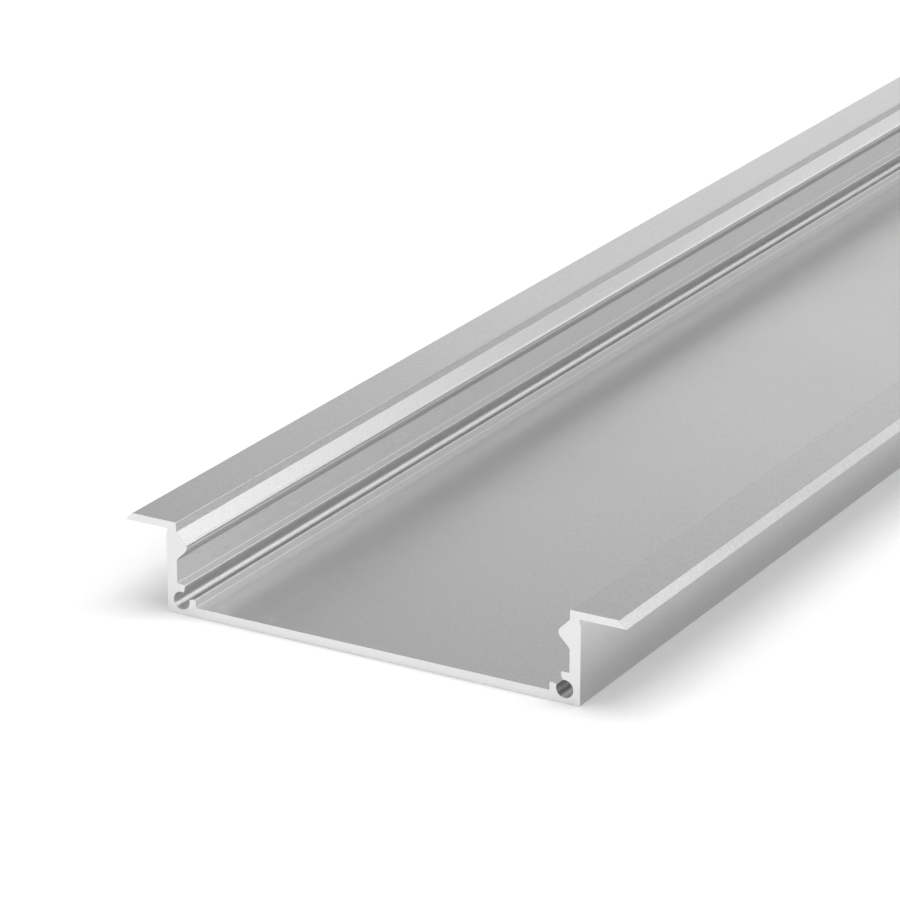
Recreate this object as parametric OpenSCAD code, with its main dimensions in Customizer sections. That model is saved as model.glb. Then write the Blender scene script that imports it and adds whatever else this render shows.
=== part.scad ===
// Recessed aluminium profile for LED strips: one extrusion, sawn square to
// length. X runs across it, Y along it and Z up. The origin is at the middle of
// the underside.

/* [Bar] */
// Length of the sawn bar
bar_length = 300; // [50:10:1000]
// Width over the two flanges, tip to tip
overall_width = 58; // [54:0.5:80]
// Height from the underside to the top of the flanges
overall_height = 10; // [9.5:0.1:20]

/* [Tray] */
// Width over the outer faces of the two walls
body_width = 48; // [40:0.5:50]
// Thickness of each wall
wall_thickness = 1.2; // [0.9:0.05:2]
// Thickness of the floor
floor_thickness = 1.05; // [0.6:0.05:1.4]

/* [Flanges] */
// Thickness of each flange
flange_thickness = 0.8; // [0.5:0.05:1.2]
// How far the bevel sets the top edge back from the tip
bevel_inset = 0.85; // [0.2:0.05:1.5]
// Depth of the relief cut into the wall under each flange
relief_depth = 0.25; // [0.05:0.05:0.5]
// Height of that relief
relief_height = 0.65; // [0.2:0.05:1]
// Radius in the relief's corner under the flange
relief_radius = 0.2; // [0.05:0.01:0.3]

/* [Cover ridges] */
// How far each snap ridge stands out from its wall
ridge_reach = 1.25; // [0.8:0.05:1.6]
// Depth of the ridge's nose below the top of the flanges
ridge_drop = 2.55; // [2.2:0.05:2.9]
// Radius of the ridge's nose
ridge_nose_radius = 0.65; // [0.1:0.05:0.8]
// Radius where the ridge runs out into the wall below it
ridge_foot_radius = 0.5; // [0.1:0.05:0.8]

/* [Screw ports] */
// Bore of the ports, for self-tapping end cap screws
port_bore = 1.9; // [1.6:0.05:2.4]
// Metal between a bore and the faces at its two sides
port_side_wall = 0.75; // [0.5:0.05:1]
// Metal under a bore
port_floor = 0.58; // [0.4:0.01:0.8]
// Metal over a bore, up to the top of its lip
port_lip_thickness = 0.85; // [0.5:0.05:1.2]
// Direction of the slot's upper side, turned inwards from level
slot_upper_angle = 105.5; // [96:0.5:118]
// Direction of the slot's lower side, turned inwards from level
slot_lower_angle = 164; // [155:0.5:170]

/* [Edges] */
// Radius that the die leaves on edges and in corners
edge_radius = 0.1; // [0.05:0.01:0.15]
// Radius on the edges of the port lips
lip_radius = 0.16; // [0.05:0.01:0.2]

/* [Hidden] */

// Straight pieces in one rounded corner
arc_steps = 8;
// Segments in a bore
bore_segments = 64;

body_half = body_width / 2;
inner_half = body_half - wall_thickness;
flange_half = overall_width / 2;
flange_underside = overall_height - flange_thickness;

// The ridge's flanks slope at 45 degrees, so its rounded nose falls short of
// the point where they would meet.
ridge_rise = ridge_reach + ridge_nose_radius * (sqrt(2) - 1);
ridge_height = overall_height - ridge_drop;

bore_radius = port_bore / 2;
port_x = body_half - port_side_wall - bore_radius;
port_z = port_floor + bore_radius;
lip_top = port_z + bore_radius + port_lip_thickness;
lip_end = port_x - (lip_top - port_z) / tan(180 - slot_upper_angle);
floor_lip_side = port_x - bore_radius - port_side_wall;
floor_lip_top = port_z + (port_x - floor_lip_side) * tan(180 - slot_lower_angle);

// Corners of the right half of the section, from the base outwards, over the
// flange and back along the inside to the floor: place and radius of each.
// The slot's two sides meet at the bore's centre, which the bore then clears.
right_corners = [
    [body_half, 0, edge_radius],
    [body_half, flange_underside - relief_height, 0],
    [body_half - relief_depth, flange_underside, relief_radius],
    [flange_half, flange_underside, 0],
    [flange_half - bevel_inset, overall_height, edge_radius],
    [inner_half, overall_height, edge_radius],
    [inner_half, ridge_height + ridge_rise, edge_radius],
    [inner_half - ridge_rise, ridge_height, ridge_nose_radius],
    [inner_half, ridge_height - ridge_rise, ridge_foot_radius],
    [inner_half, lip_top, edge_radius],
    [lip_end, lip_top, lip_radius],
    [port_x, port_z, 0],
    [floor_lip_side, floor_lip_top, lip_radius],
    [floor_lip_side, floor_thickness, edge_radius]
];

// The left half is the right half seen in a mirror, walked the other way.
left_corners = [
    for (i = [len(right_corners) - 1 : -1 : 0])
        [-right_corners[i].x, right_corners[i].y, right_corners[i].z]
];

function flat(corner) = [corner.x, corner.y];
function unit(v) = v / norm(v);

// Points of one corner: the corner itself, or an arc that touches both of the
// edges that meet there.
function corner_points(before, corner, after) =
    corner.z == 0 ? [flat(corner)] :
    let (
        to_before = unit(flat(before) - flat(corner)),
        to_after = unit(flat(after) - flat(corner)),
        half_angle = acos(to_before * to_after) / 2,
        centre = flat(corner) + unit(to_before + to_after) * corner.z / sin(half_angle),
        touch = flat(corner) + to_before * corner.z / tan(half_angle),
        turn = cross(to_before, to_after) > 0 ? -1 : 1,
        sweep = turn * (180 - 2 * half_angle),
        arm = touch - centre
    )
    [
        for (i = [0 : arc_steps])
            let (angle = sweep * i / arc_steps)
            centre + [
                arm.x * cos(angle) - arm.y * sin(angle),
                arm.x * sin(angle) + arm.y * cos(angle)
            ]
    ];

function rounded(corners) = [
    for (i = [0 : len(corners) - 1])
        let (
            before = corners[(i + len(corners) - 1) % len(corners)],
            after = corners[(i + 1) % len(corners)]
        )
        for (p = corner_points(before, corners[i], after)) p
];

// Opening of the die, with the two screw ports
module die_section() {
    difference() {
        polygon(rounded(concat(right_corners, left_corners)));
        for (side = [-1, 1])
            translate([side * port_x, port_z])
                circle(r = bore_radius, $fn = bore_segments);
    }
}

// The bar as it leaves the saw
module tray_profile() {
    color("silver")
        rotate([90, 0, 0])
            linear_extrude(height = bar_length, center = true)
                die_section();
}

tray_profile();
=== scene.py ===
"""Dresses the recessed aluminium profile for LED strips: the bar itself with its
two finishes and painted light in its screw ports, and the pale studio that it lies in."""

import math

import bmesh
import bpy
from mathutils import Matrix, Vector


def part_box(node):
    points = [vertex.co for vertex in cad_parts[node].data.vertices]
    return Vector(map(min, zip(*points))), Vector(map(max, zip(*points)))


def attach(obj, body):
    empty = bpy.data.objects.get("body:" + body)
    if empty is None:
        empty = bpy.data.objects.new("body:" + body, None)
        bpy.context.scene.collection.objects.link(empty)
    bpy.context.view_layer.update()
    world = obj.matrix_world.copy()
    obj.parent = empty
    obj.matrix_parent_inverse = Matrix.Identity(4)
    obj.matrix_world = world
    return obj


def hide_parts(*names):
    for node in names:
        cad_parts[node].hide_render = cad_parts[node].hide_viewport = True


bl_info = {
    "name": "Recessed LED Profile",
    "version": (1, 0, 0),
    "blender": (4, 5, 0),
    "location": "View3D > Sidebar > LED Profile",
    "description": "Models a recessed aluminium LED profile, its finishes and its studio",
    "category": "Add Mesh",
}

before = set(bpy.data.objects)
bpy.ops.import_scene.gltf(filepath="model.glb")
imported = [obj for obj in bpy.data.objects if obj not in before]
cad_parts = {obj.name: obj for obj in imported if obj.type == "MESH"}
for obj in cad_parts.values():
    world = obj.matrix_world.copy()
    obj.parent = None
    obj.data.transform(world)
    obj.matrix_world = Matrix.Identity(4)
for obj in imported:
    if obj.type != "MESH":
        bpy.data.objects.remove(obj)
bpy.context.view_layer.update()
BAR_LOW, BAR_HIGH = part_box("tray_profile")

MM = 0.001

# Material slots of the bar's mesh; the last holds the skin inside the screw ports, painted
# paler as light in their shade
SKIN, SAWN_END, PORT_SKIN_PAINTED_LIGHT = 0, 1, 2
# Straight pieces in a rounded edge, in a bore and in a broken rim
ARC_STEPS = 8
BORE_STEPS = 48
RIM_STEPS = 2
# Places closer than this count as one place
SAME_PLACE = 0.001 * MM
# Corners of the two halves that lie closer than this are merged
MERGE_DISTANCE = 0.0001 * MM
# Edges longer than this run along the bar
LONG_EDGE = 1 * MM
# Allowed past the middle of a port's lip when faces are sorted into materials
PORT_MARGIN = 0.2 * MM
# Arcs turn by up to 14 degrees a step, and the relief by 21 from its wall
SHARP_ANGLE = math.radians(18)

# Most values of a noise texture lie between these two
NOISE_LOW = 0.3
NOISE_HIGH = 0.7
# Faint clouds in the sheen of the skin, to a metre
CLOUDS_PER_METRE = 35.0
# How many times longer than wide a die line is
DIE_LINE_STRETCH = 400
# How far the skin's roughness and brightness stray, up and down
ROUGHNESS_SPREAD = 0.02
TONE_SPREAD = 0.05
# Height that the bump textures stand for
SKIN_RELIEF = 0.02 * MM
SAW_RELIEF = 0.03 * MM
# Middle of the saw blade when it cut the bar
BLADE_CENTRE = (-175 * MM, 0.0, 30 * MM)

# Camera's place, from the middle of the near end's foot
CAMERA_PLACE = Vector((205.431, -339.456, 172.242)) * MM
# Sine of the elevation above which the surround has its overhead strength
OVERHEAD_FROM = 0.35
# Points that the softboxes face, along the bar
NEAR_HALF = Vector((0.0, -60 * MM, 0.0))
FAR_HALF = Vector((0.0, 60 * MM, 0.0))
STUDIO_HALF_SIZE = 6.0


# Properties

def linear_colour(hex_text):
    """Turns an sRGB hex value into the linear RGBA that shaders take."""
    channels = [int(hex_text[i:i + 2], 16) / 255 for i in (0, 2, 4)]
    linear = [
        c / 12.92 if c <= 0.04045 else ((c + 0.055) / 1.055) ** 2.4
        for c in channels
    ]
    return (*linear, 1.0)


def size_property(label, description, default):
    """A length in metres, shown in the scene's units."""
    return bpy.props.FloatProperty(
        name=label,
        description=description,
        default=default,
        min=0.0,
        precision=5,
        subtype="DISTANCE",
        unit="LENGTH",
    )


def colour_property(label, description, hex_text):
    """A colour whose default is an sRGB hex value."""
    return bpy.props.FloatVectorProperty(
        name=label,
        description=description,
        default=linear_colour(hex_text),
        size=4,
        min=0.0,
        max=1.0,
        subtype="COLOR",
    )


class ProfileSizes(bpy.types.PropertyGroup):
    """Sizes of the die opening and of the saw cut"""

    wall: size_property("Wall", "Thickness of each wall", 1.2 * MM)
    floor: size_property("Floor", "Thickness of the floor", 1.05 * MM)
    body_width: size_property("Body width", "Width over the two walls", 48 * MM)
    flange: size_property("Flange", "Thickness of each flange", 0.8 * MM)
    bevel_inset: size_property(
        "Bevel inset", "How far the bevel sets the top edge back", 0.85 * MM
    )
    relief_depth: size_property(
        "Relief depth", "Depth of the relief under each flange", 0.25 * MM
    )
    relief_height: size_property("Relief height", "Height of that relief", 0.65 * MM)
    relief_radius: size_property(
        "Relief radius", "Radius in the relief's corner", 0.2 * MM
    )
    ridge_reach: size_property(
        "Ridge reach", "How far each snap ridge stands out", 1.25 * MM
    )
    ridge_drop: size_property(
        "Ridge drop", "Depth of the ridge's nose below the top", 2.55 * MM
    )
    nose_radius: size_property("Nose radius", "Radius of the ridge's nose", 0.65 * MM)
    foot_radius: size_property(
        "Foot radius", "Radius where the ridge runs out into the wall", 0.5 * MM
    )
    port_bore: size_property("Port bore", "Bore of the screw ports", 1.9 * MM)
    port_side_wall: size_property(
        "Port side wall", "Metal between a bore and the faces beside it", 0.75 * MM
    )
    port_floor: size_property("Port floor", "Metal under a bore", 0.58 * MM)
    port_lip: size_property("Port lip", "Metal over a bore", 0.85 * MM)
    slot_upper: bpy.props.FloatProperty(
        name="Slot upper side",
        description="Direction of the slot's upper side, turned inwards from level",
        default=math.radians(105.5),
        subtype="ANGLE",
        unit="ROTATION",
    )
    slot_lower: bpy.props.FloatProperty(
        name="Slot lower side",
        description="Direction of the slot's lower side, turned inwards from level",
        default=math.radians(164),
        subtype="ANGLE",
        unit="ROTATION",
    )
    edge_radius: size_property(
        "Edge radius", "Radius that the die leaves on edges", 0.1 * MM
    )
    lip_radius: size_property("Lip radius", "Radius on the port lips", 0.16 * MM)
    rim: size_property("Sawn rim", "Broken edge round each saw cut", 0.04 * MM)


class ProfileFinish(bpy.types.PropertyGroup):
    """Colours and textures of the two finishes, and of the paler copy of the skin inside
    the screw ports, which is painted light
    """

    anodised: colour_property(
        "Anodised aluminium", "Colour of the anodised skin", "C5C5C5"
    )
    anodised_roughness: bpy.props.FloatProperty(
        name="Anodised roughness",
        description="Roughness of the etched and anodised skin",
        default=0.24,
        min=0.0,
        max=1.0,
    )
    # Port skin: a paler copy of the anodised colour, painted light that lifts the shade
    # inside the screw ports
    port_skin_painted_light: colour_property(
        "Port skin", "Colour of the thinner skin inside the screw ports", "D6D6D6"
    )
    # A higher roughness inside the screw ports, which also lifts their shade
    port_roughness: bpy.props.FloatProperty(
        name="Port roughness",
        description="Roughness of the thinner skin inside the screw ports",
        default=0.36,
        min=0.0,
        max=1.0,
    )
    die_line: size_property(
        "Die line spacing", "Distance between the fine lines that the die leaves", 0.3 * MM
    )
    etch_grain: size_property(
        "Etch grain", "Size of the etched grain, as coarse as it needs to show", 0.22 * MM
    )
    sawn: colour_property("Sawn aluminium", "Colour of the bare saw cut", "E9E9E9")
    sawn_roughness: bpy.props.FloatProperty(
        name="Sawn roughness",
        description="Roughness of the bare saw cut",
        default=0.5,
        min=0.0,
        max=1.0,
    )
    saw_mark: size_property("Saw mark spacing", "Distance between saw marks", 0.35 * MM)


class ProfileStudio(bpy.types.PropertyGroup):
    """Camera, backdrop and light"""

    lens: bpy.props.FloatProperty(
        name="Lens",
        description="Focal length on a 36 mm sensor",
        default=172.75,
        min=1.0,
        subtype="DISTANCE_CAMERA",
        unit="CAMERA",
    )
    azimuth: bpy.props.FloatProperty(
        name="Azimuth",
        description="Direction of the camera, turned from the sawn end to the right",
        default=math.radians(30.005),
        subtype="ANGLE",
        unit="ROTATION",
    )
    elevation: bpy.props.FloatProperty(
        name="Elevation",
        description="How far the camera looks down",
        default=math.radians(20.715),
        subtype="ANGLE",
        unit="ROTATION",
    )
    backdrop: colour_property("Backdrop", "Colour of the floor and the surround", "FFFFFF")
    overhead: bpy.props.FloatProperty(
        name="Surround overhead",
        description="Strength of the surround overhead; at the horizon it is 1",
        default=0.55,
        min=0.0,
    )
    lamp_scale: bpy.props.FloatProperty(
        name="Lamps", description="Scales all the lamps together", default=1.0, min=0.0
    )


# Materials

def add_node(tree, kind, settings=None, links=None):
    """Adds one node, sets its properties and inputs, and links its inputs."""
    node = tree.nodes.new(kind)
    for key, value in (settings or {}).items():
        if isinstance(key, int) or key in node.inputs:
            node.inputs[key].default_value = value
        else:
            setattr(node, key, value)
    for key, socket in (links or {}).items():
        tree.links.new(socket, node.inputs[key])
    return node


def new_material(name):
    """An empty node material with its output node."""
    material = bpy.data.materials.new(name)
    material.use_nodes = True
    material.node_tree.nodes.clear()
    output = add_node(material.node_tree, "ShaderNodeOutputMaterial")
    return material, material.node_tree, output


def anodised_aluminium(finish, name, colour, base_roughness):
    """Extruded, etched and clear anodised aluminium: a soft even sheen, with
    faint lines along the bar from the die and a fine matt grain from the etch.
    Inside the screw ports it is given a paler colour, which is painted light that lifts the
    shade there, and a higher roughness."""
    material, tree, output = new_material(name)
    place = add_node(tree, "ShaderNodeTexCoord")
    # The die's lines run along Y, so the pattern is drawn out that way.
    lines_per_metre = 1 / finish.die_line
    stretch = add_node(
        tree,
        "ShaderNodeMapping",
        {"Scale": (lines_per_metre, lines_per_metre / DIE_LINE_STRETCH, lines_per_metre)},
        {"Vector": place.outputs["Object"]},
    )
    die_lines = add_node(
        tree,
        "ShaderNodeTexNoise",
        {"Scale": 1.0, "Detail": 2.0, "Roughness": 0.6},
        {"Vector": stretch.outputs["Vector"]},
    )
    grain = add_node(
        tree,
        "ShaderNodeTexNoise",
        {"Scale": 1 / finish.etch_grain, "Detail": 1.0, "Roughness": 0.5},
        {"Vector": place.outputs["Object"]},
    )
    cloud = add_node(
        tree,
        "ShaderNodeTexNoise",
        {"Scale": CLOUDS_PER_METRE, "Detail": 2.0},
        {"Vector": place.outputs["Object"]},
    )
    roughness = add_node(
        tree,
        "ShaderNodeMapRange",
        {
            "From Min": NOISE_LOW,
            "From Max": NOISE_HIGH,
            "To Min": base_roughness - ROUGHNESS_SPREAD,
            "To Max": base_roughness + ROUGHNESS_SPREAD,
        },
        {"Value": cloud.outputs["Fac"]},
    )
    tone = add_node(
        tree,
        "ShaderNodeMapRange",
        {
            "From Min": NOISE_LOW,
            "From Max": NOISE_HIGH,
            "To Min": 1 - TONE_SPREAD,
            "To Max": 1 + TONE_SPREAD,
        },
        {"Value": grain.outputs["Fac"]},
    )
    grained = add_node(
        tree,
        "ShaderNodeHueSaturation",
        {"Color": colour},
        {"Value": tone.outputs["Result"]},
    )
    line_bump = add_node(
        tree,
        "ShaderNodeBump",
        {"Strength": 0.06, "Distance": SKIN_RELIEF},
        {"Height": die_lines.outputs["Fac"]},
    )
    grain_bump = add_node(
        tree,
        "ShaderNodeBump",
        {"Strength": 0.10, "Distance": SKIN_RELIEF},
        {"Height": grain.outputs["Fac"], "Normal": line_bump.outputs["Normal"]},
    )
    shader = add_node(
        tree,
        "ShaderNodeBsdfPrincipled",
        {"Metallic": 1.0},
        {
            "Base Color": grained.outputs["Color"],
            "Roughness": roughness.outputs["Result"],
            "Normal": grain_bump.outputs["Normal"],
        },
    )
    tree.links.new(shader.outputs["BSDF"], output.inputs["Surface"])
    return material


def sawn_aluminium(finish):
    """Bare aluminium from a circular saw: brighter and rougher than the skin,
    with fine arcs from the blade."""
    material, tree, output = new_material("sawn_aluminium")
    place = add_node(tree, "ShaderNodeTexCoord")
    # A 350 mm blade that enters from the left leaves nearly upright arcs.
    from_centre = add_node(
        tree,
        "ShaderNodeVectorMath",
        {"operation": "SUBTRACT", 1: BLADE_CENTRE},
        {0: place.outputs["Object"]},
    )
    across = add_node(
        tree,
        "ShaderNodeVectorMath",
        {"operation": "MULTIPLY", 1: (1.0, 0.0, 1.0)},
        {0: from_centre.outputs["Vector"]},
    )
    reach = add_node(
        tree,
        "ShaderNodeVectorMath",
        {"operation": "LENGTH"},
        {0: across.outputs["Vector"]},
    )
    marks = add_node(
        tree,
        "ShaderNodeTexNoise",
        {"noise_dimensions": "1D", "Scale": 1 / finish.saw_mark, "Detail": 3.0},
        {"W": reach.outputs["Value"]},
    )
    mark_bump = add_node(
        tree,
        "ShaderNodeBump",
        {"Strength": 0.15, "Distance": SAW_RELIEF},
        {"Height": marks.outputs["Fac"]},
    )
    shader = add_node(
        tree,
        "ShaderNodeBsdfPrincipled",
        {
            "Base Color": finish.sawn,
            "Metallic": 1.0,
            "Roughness": finish.sawn_roughness,
        },
        {"Normal": mark_bump.outputs["Normal"]},
    )
    tree.links.new(shader.outputs["BSDF"], output.inputs["Surface"])
    return material


# Shape of the bar

def right_corners(sizes):
    """The right half of the section, in three parts: the corners (x, z, radius)
    from the base outwards, over the flange and back inside to the lip on the wall;
    the bore's centre and radius; and the corners of the lip on the floor."""
    height = BAR_HIGH.z
    flange_half = BAR_HIGH.x
    body_half = sizes.body_width / 2
    inner_half = body_half - sizes.wall
    underside = height - sizes.flange
    ridge_z = height - sizes.ridge_drop
    # The ridge's flanks slope at 45 degrees, so its nose falls short of their point.
    rise = sizes.ridge_reach + sizes.nose_radius * (math.sqrt(2) - 1)
    bore = sizes.port_bore / 2
    port_x = body_half - sizes.port_side_wall - bore
    port_z = sizes.port_floor + bore
    lip_top = port_z + bore + sizes.port_lip
    lip_end = port_x + (lip_top - port_z) / math.tan(sizes.slot_upper)
    lip_side = port_x - bore - sizes.port_side_wall
    lip_side_top = port_z + (lip_side - port_x) * math.tan(sizes.slot_lower)
    edge = sizes.edge_radius
    outside = [
        (body_half, 0.0, edge),
        (body_half, underside - sizes.relief_height, 0.0),
        (body_half - sizes.relief_depth, underside, sizes.relief_radius),
        (flange_half, underside, 0.0),
        (flange_half - sizes.bevel_inset, height, edge),
        (inner_half, height, edge),
        (inner_half, ridge_z + rise, edge),
        (inner_half - rise, ridge_z, sizes.nose_radius),
        (inner_half, ridge_z - rise, sizes.foot_radius),
        (inner_half, lip_top, edge),
        (lip_end, lip_top, sizes.lip_radius),
    ]
    port = (port_x, port_z, bore)
    inside = [
        (lip_side, lip_side_top, sizes.lip_radius),
        (lip_side, sizes.floor, edge),
    ]
    return outside, port, inside


def draw_half_section(bm, sizes):
    """Draws the right half of the section as a chain of edges at the near end,
    with the bore spun from the slot's upper side round to its lower side."""
    y = BAR_LOW.y
    outside, (port_x, port_z, bore), inside = right_corners(sizes)
    slot_edge = Vector((math.cos(sizes.slot_upper), 0.0, math.sin(sizes.slot_upper))) * bore
    chain = [bm.verts.new((0.0, y, 0.0))]
    chain += [bm.verts.new((x, y, z)) for x, z, radius in outside]
    arc_start = bm.verts.new(Vector((port_x, y, port_z)) + slot_edge)
    chain.append(arc_start)
    for first, second in zip(chain, chain[1:]):
        bm.edges.new((first, second))
    spun = bmesh.ops.spin(
        bm,
        geom=[arc_start],
        cent=(port_x, y, port_z),
        axis=(0.0, 1.0, 0.0),
        angle=2 * math.pi - (sizes.slot_lower - sizes.slot_upper),
        steps=BORE_STEPS,
    )
    arc_end = next(g for g in spun["geom_last"] if isinstance(g, bmesh.types.BMVert))
    chain = [arc_end] + [bm.verts.new((x, y, z)) for x, z, radius in inside]
    chain.append(bm.verts.new((0.0, y, sizes.floor)))
    for first, second in zip(chain, chain[1:]):
        bm.edges.new((first, second))


def stands_at(edge, x, z):
    """True for a long edge at that place in the section, on either side."""
    first, second = (v.co for v in edge.verts)
    return abs(first.y - second.y) > LONG_EDGE and all(
        abs(abs(co.x) - x) < SAME_PLACE and abs(co.z - z) < SAME_PLACE
        for co in (first, second)
    )


def round_long_edges(bm, corners):
    """Rounds the long edges that stand at the given corners, each with its own
    radius, on both sides of the bar."""
    for before, corner, after in zip(corners, corners[1:], corners[2:]):
        x, z, radius = corner
        if radius == 0:
            continue
        to_before = Vector((before[0] - x, before[1] - z)).normalized()
        to_after = Vector((after[0] - x, after[1] - z)).normalized()
        half_angle = to_before.angle(to_after) / 2
        edges = [e for e in bm.edges if stands_at(e, x, z)]
        bmesh.ops.bevel(
            bm,
            geom=edges,
            offset=radius / math.tan(half_angle),
            offset_type="OFFSET",
            affect="EDGES",
            segments=ARC_STEPS,
            profile=0.5,
            clamp_overlap=False,
            material=-1,
        )


def extruded_bar(sizes):
    """The whole bar as a bmesh: half section, mirrored, filled, drawn out, its
    long edges rounded and the rims of both saw cuts broken."""
    bm = bmesh.new()
    draw_half_section(bm, sizes)
    bmesh.ops.mirror(
        bm,
        geom=bm.verts[:] + bm.edges[:],
        matrix=Matrix.Identity(4),
        merge_dist=MERGE_DISTANCE,
        axis="X",
    )
    bmesh.ops.remove_doubles(bm, verts=bm.verts[:], dist=MERGE_DISTANCE)
    section = bmesh.ops.contextual_create(bm, geom=bm.edges[:])["faces"]
    drawn = bmesh.ops.extrude_face_region(bm, geom=section)["geom"]
    bmesh.ops.translate(
        bm,
        vec=(0.0, BAR_HIGH.y - BAR_LOW.y, 0.0),
        verts=[g for g in drawn if isinstance(g, bmesh.types.BMVert)],
    )
    bmesh.ops.recalc_face_normals(bm, faces=bm.faces[:])
    outside, (port_x, port_z, bore), inside = right_corners(sizes)
    round_long_edges(bm, [(0.0, 0.0, 0.0), *outside, (port_x, port_z, 0.0)])
    round_long_edges(bm, [(port_x, port_z, 0.0), *inside, (0.0, sizes.floor, 0.0)])
    # Only the bore and the sides of its slot have their middles this near its axis.
    port_reach = (sizes.port_bore + sizes.port_lip) / 2 + PORT_MARGIN
    for face in bm.faces:
        face.smooth = True
        middle = face.calc_center_median()
        if abs(face.normal.y) > 0.5:
            face.material_index = SAWN_END
        # Faces in the screw ports get the skin painted paler, as light in their shade
        elif math.hypot(abs(middle.x) - port_x, middle.z - port_z) < port_reach:
            face.material_index = PORT_SKIN_PAINTED_LIGHT
        else:
            face.material_index = SKIN
    cut_edges = [
        edge
        for edge in bm.edges
        if len({face.material_index == SAWN_END for face in edge.link_faces}) == 2
    ]
    bmesh.ops.bevel(
        bm,
        geom=cut_edges,
        offset=sizes.rim,
        offset_type="OFFSET",
        affect="EDGES",
        segments=RIM_STEPS,
        profile=0.5,
        clamp_overlap=True,
        material=SAWN_END,
    )
    return bm


class MESH_OT_tray_profile(bpy.types.Operator):
    """Models the extruded bar and gives it its two finishes, and a paler skin in the screw
    ports as painted light
    """

    bl_idname = "mesh.tray_profile"
    bl_label = "Tray Profile"
    bl_options = {"REGISTER", "UNDO"}

    def execute(self, context):
        scene = context.scene
        mesh = bpy.data.meshes.new("tray_profile_bar")
        bm = extruded_bar(scene.profile_sizes)
        bm.to_mesh(mesh)
        bm.free()
        finish = scene.profile_finish
        skin = anodised_aluminium(
            finish, "anodised_aluminium", finish.anodised, finish.anodised_roughness
        )
        # The same skin in a paler colour for the screw ports: painted light that lifts
        # their shade
        port_skin_painted_light = anodised_aluminium(
            finish, "anodised_aluminium_painted_light", finish.port_skin_painted_light, finish.port_roughness
        )
        # In the order of SKIN, SAWN_END and PORT_SKIN_PAINTED_LIGHT
        for material in (skin, sawn_aluminium(finish), port_skin_painted_light):
            mesh.materials.append(material)
        bar = bpy.data.objects.new("tray_profile_bar", mesh)
        scene.collection.objects.link(bar)
        mesh.set_sharp_from_angle(angle=SHARP_ANGLE)
        normals = bar.modifiers.new("even_flats", "WEIGHTED_NORMAL")
        normals.keep_sharp = True
        normals.weight = 100
        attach(bar, "root")
        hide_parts("tray_profile")
        return {"FINISHED"}


# Studio

def add_softbox(name, aim, azimuth, elevation, distance, side, brightness):
    """A square soft light that faces the point it is aimed at. The azimuth turns
    from +Y to +X, and the brightness is that of its face, where paper white is 1."""
    data = bpy.data.lights.new(name, "AREA")
    data.shape = "SQUARE"
    data.size = side
    data.energy = brightness * math.pi * side * side
    azimuth, elevation = math.radians(azimuth), math.radians(elevation)
    towards = Vector(
        (
            math.sin(azimuth) * math.cos(elevation),
            math.cos(azimuth) * math.cos(elevation),
            math.sin(elevation),
        )
    )
    light = bpy.data.objects.new(name, data)
    light.location = aim + distance * towards
    light.rotation_euler = (-towards).to_track_quat("-Z", "Y").to_euler()
    light.visible_camera = False
    bpy.context.scene.collection.objects.link(light)


def pale_floor(studio):
    """Matt white paper: it keeps the bar's shadow and is white elsewhere."""
    material, tree, output = new_material("pale_floor")
    matt = add_node(tree, "ShaderNodeBsdfDiffuse", {"Color": studio.backdrop})
    tree.links.new(matt.outputs["BSDF"], output.inputs["Surface"])
    return material


def pale_surround(studio):
    """A surround that is white at the horizon and dimmer overhead, so that flat
    metal shows a soft change of tone."""
    world = bpy.data.worlds.new("pale_surround")
    world.use_nodes = True
    tree = world.node_tree
    tree.nodes.clear()
    place = add_node(tree, "ShaderNodeTexCoord")
    parts = add_node(
        tree, "ShaderNodeSeparateXYZ", {}, {"Vector": place.outputs["Generated"]}
    )
    # The strength falls over the first 20 degrees above the horizon.
    strength = add_node(
        tree,
        "ShaderNodeMapRange",
        {
            "From Min": 0.0,
            "From Max": OVERHEAD_FROM,
            "To Min": 1.0,
            "To Max": studio.overhead,
        },
        {"Value": parts.outputs["Z"]},
    )
    surround = add_node(
        tree,
        "ShaderNodeBackground",
        {"Color": studio.backdrop},
        {"Strength": strength.outputs["Result"]},
    )
    output = add_node(tree, "ShaderNodeOutputWorld")
    tree.links.new(surround.outputs["Background"], output.inputs["Surface"])
    return world


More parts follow.
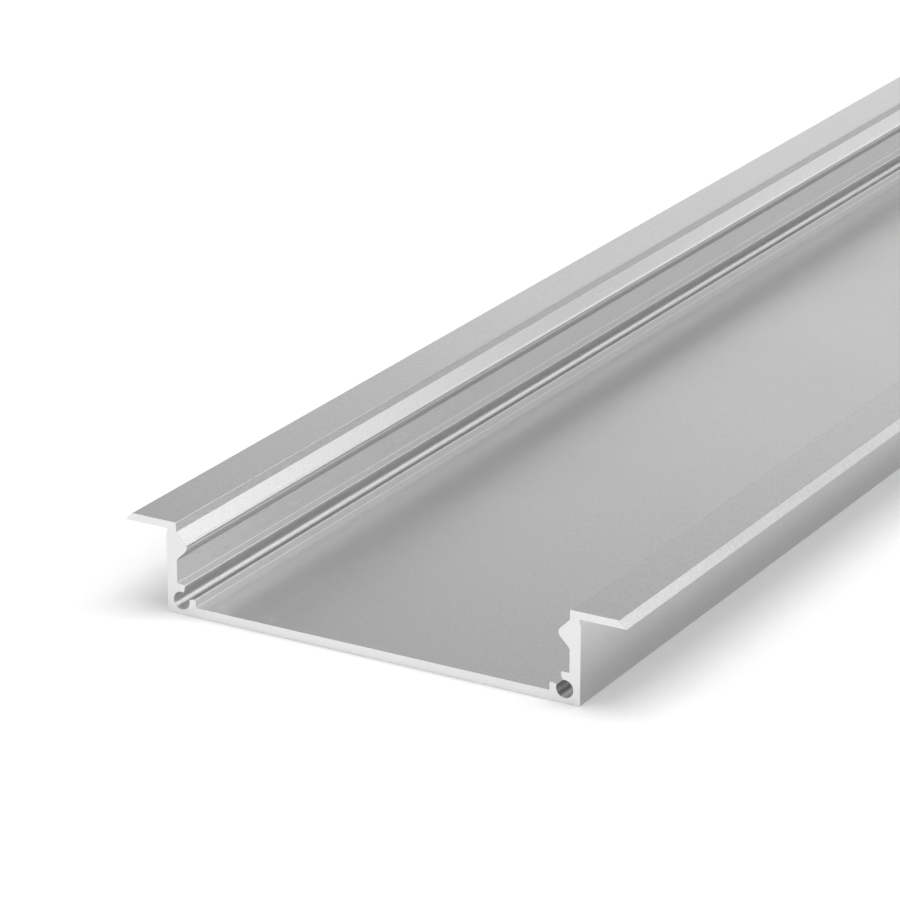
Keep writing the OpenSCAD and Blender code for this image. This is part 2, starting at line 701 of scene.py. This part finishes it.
class SCENE_OT_profile_studio(bpy.types.Operator):
    """Sets up the camera, the pale floor and the light"""

    bl_idname = "scene.profile_studio"
    bl_label = "Profile Studio"
    bl_options = {"REGISTER", "UNDO"}

    def execute(self, context):
        scene = context.scene
        studio = scene.profile_studio
        self.add_camera(scene, studio)
        self.add_floor(scene, studio)
        self.add_softboxes(studio)
        scene.world = pale_surround(studio)
        scene.view_settings.view_transform = "Standard"
        # Light leaves the screw ports only after many reflections.
        scene.cycles.glossy_bounces = 12
        return {"FINISHED"}

    def add_camera(self, scene, studio):
        """Looks at the near end from the right and above."""
        data = bpy.data.cameras.new("profile_camera")
        data.sensor_width = 36.0
        data.lens = studio.lens
        data.clip_start = 0.01
        camera = bpy.data.objects.new("profile_camera", data)
        camera.location = Vector((0.0, BAR_LOW.y, 0.0)) + CAMERA_PLACE
        back = Vector(
            (
                math.sin(studio.azimuth) * math.cos(studio.elevation),
                -math.cos(studio.azimuth) * math.cos(studio.elevation),
                math.sin(studio.elevation),
            )
        )
        camera.rotation_euler = (-back).to_track_quat("-Z", "Y").to_euler()
        scene.collection.objects.link(camera)
        scene.camera = camera

    def add_softboxes(self, studio):
        """Soft lights round the near half of the bar, and three low ones past its
        far end, which lift the tone towards that end."""
        softboxes = (
            ("right_softbox", NEAR_HALF, 60, 18, 0.8, 0.42, 2.95),
            ("back_right_softbox", NEAR_HALF, 45, 35, 0.8, 0.42, 0.45),
            ("high_back_softbox", NEAR_HALF, 30, 45, 0.8, 0.42, 0.9),
            ("top_softbox", NEAR_HALF, 0, 88, 0.8, 0.6, 2.2),
            ("left_softbox", NEAR_HALF, -90, 45, 0.8, 0.42, 1.05),
            ("front_left_softbox", NEAR_HALF, -150, 45, 0.8, 0.42, 0.75),
            ("low_right_softbox", FAR_HALF, 25, 15, 0.45, 0.28, 0.64),
            ("low_middle_softbox", FAR_HALF, -25, 15, 0.45, 0.28, 0.12),
            ("low_left_softbox", FAR_HALF, -35, 12, 0.45, 0.28, 0.26),
        )
        for name, aim, azimuth, elevation, distance, side, brightness in softboxes:
            scaled = brightness * studio.lamp_scale
            add_softbox(name, aim, azimuth, elevation, distance, side, scaled)

    def add_floor(self, scene, studio):
        """A large floor that the bar rests on."""
        bm = bmesh.new()
        bmesh.ops.create_grid(bm, x_segments=1, y_segments=1, size=STUDIO_HALF_SIZE)
        mesh = bpy.data.meshes.new("studio_floor")
        bm.to_mesh(mesh)
        bm.free()
        mesh.materials.append(pale_floor(studio))
        floor = bpy.data.objects.new("studio_floor", mesh)
        scene.collection.objects.link(floor)


# Panel and registration

class VIEW3D_PT_led_profile(bpy.types.Panel):
    """Lists the profile's tools and sizes"""

    bl_label = "LED Profile"
    bl_idname = "VIEW3D_PT_led_profile"
    bl_space_type = "VIEW_3D"
    bl_region_type = "UI"
    bl_category = "LED Profile"

    def draw(self, context):
        scene = context.scene
        layout = self.layout
        layout.operator(MESH_OT_tray_profile.bl_idname)
        layout.operator(SCENE_OT_profile_studio.bl_idname)
        for group in (scene.profile_sizes, scene.profile_finish, scene.profile_studio):
            column = layout.column(align=True)
            for name in group.bl_rna.properties.keys():
                if name not in ("name", "rna_type"):
                    column.prop(group, name)


CLASSES = (
    ProfileSizes,
    ProfileFinish,
    ProfileStudio,
    MESH_OT_tray_profile,
    SCENE_OT_profile_studio,
    VIEW3D_PT_led_profile,
)


def register():
    for cls in CLASSES:
        bpy.utils.register_class(cls)
    bpy.types.Scene.profile_sizes = bpy.props.PointerProperty(type=ProfileSizes)
    bpy.types.Scene.profile_finish = bpy.props.PointerProperty(type=ProfileFinish)
    bpy.types.Scene.profile_studio = bpy.props.PointerProperty(type=ProfileStudio)


def unregister():
    del bpy.types.Scene.profile_studio
    del bpy.types.Scene.profile_finish
    del bpy.types.Scene.profile_sizes
    for cls in reversed(CLASSES):
        bpy.utils.unregister_class(cls)


def main():
    register()
    bpy.ops.scene.profile_studio()
    bpy.ops.mesh.tray_profile()


if __name__ == "__main__":
    main()
